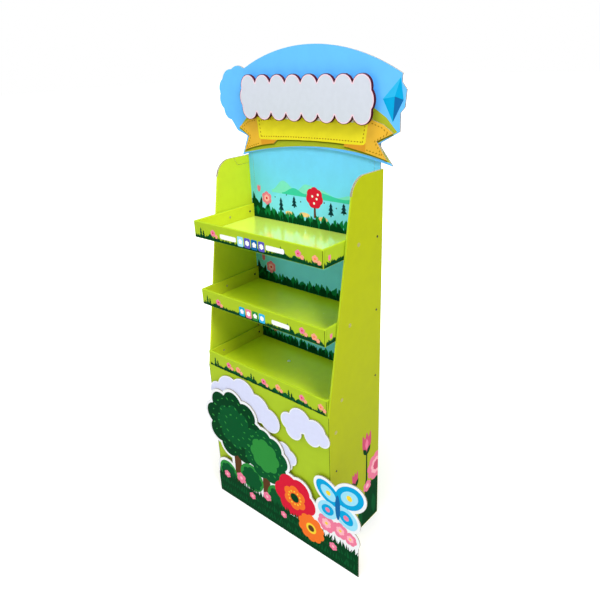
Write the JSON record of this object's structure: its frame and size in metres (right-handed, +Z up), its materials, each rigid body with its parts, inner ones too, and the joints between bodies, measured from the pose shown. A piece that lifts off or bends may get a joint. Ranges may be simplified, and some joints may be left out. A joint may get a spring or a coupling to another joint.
{
  "type": "cardboard floor display stand",
  "caption": "Retail floor stand in folded corrugated board with stacked roll-over trays between side panels, an arched header with ribbon and plaque, and a cut-out garden board.",
  "frame": {"origin": "middle of the body's footprint, on the floor", "axes": "+Z up, +X to the right seen from the front, -Y towards the front"},
  "size_m": [0.7312, 0.259, 1.4594],
  "materials": {
    "lime_board": "satin",
    "brown_board": "matte",
    "sky_print": "satin",
    "header_print": "satin",
    "ribbon_print": "satin",
    "plaque_print": "satin",
    "cloud_print": "satin",
    "garden_print": "satin",
    "foam_pad": "matte",
    "rivet_plastic": "satin"
  },
  "bodies": {
    "root": {"base_pan": "brown_board", "base_rib_left": "brown_board", "base_rib_long": "brown_board", "base_rib_right": "brown_board", "cloud_left": "cloud_print", "cloud_pads": "foam_pad", "cloud_right": "cloud_print", "cloud_small": "cloud_print", "floor_rivet": "rivet_plastic", "garden_board": "garden_print", "garden_pads": "foam_pad", "header_board": "header_print", "outer_wrap": "lime_board", "plaque_board": "plaque_print", "plaque_pads": "foam_pad", "ribbon_board": "ribbon_print", "rivets_base": "rivet_plastic", "rivets_bottom_tray": "rivet_plastic", "rivets_middle_tray": "rivet_plastic", "rivets_top_tray": "rivet_plastic", "shelf_pad_bottom": "lime_board", "shelf_pad_middle": "lime_board", "shelf_pad_top": "lime_board", "sky_card": "sky_print", "tray_bottom": "lime_board", "tray_middle": "lime_board", "tray_top": "lime_board"}
  },
  "joints": []
}
